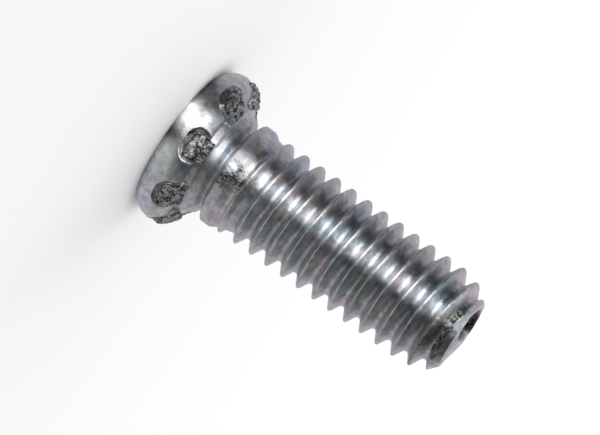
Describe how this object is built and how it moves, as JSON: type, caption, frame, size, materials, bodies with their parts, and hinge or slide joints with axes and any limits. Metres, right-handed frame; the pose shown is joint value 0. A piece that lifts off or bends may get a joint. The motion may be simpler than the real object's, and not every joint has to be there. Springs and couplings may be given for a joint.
{
  "type": "rail connector screw",
  "caption": "Self-clinching stud: thick round head with lugs on its underside, a neck groove, a plain collar and a coarse rolled thread with a hollow point.",
  "frame": {"origin": "centre of the head's flat face", "axes": "+Z along the shank towards the point, -Y through one of the lugs"},
  "size_m": [0.0088, 0.0088, 0.0178],
  "materials": {
    "zinc_steel": "bright clear zinc plating, half gloss, faintly rainbow tinted, pitted where the tools bit"
  },
  "bodies": {
    "root": {"screw": "zinc_steel"}
  },
  "joints": []
}
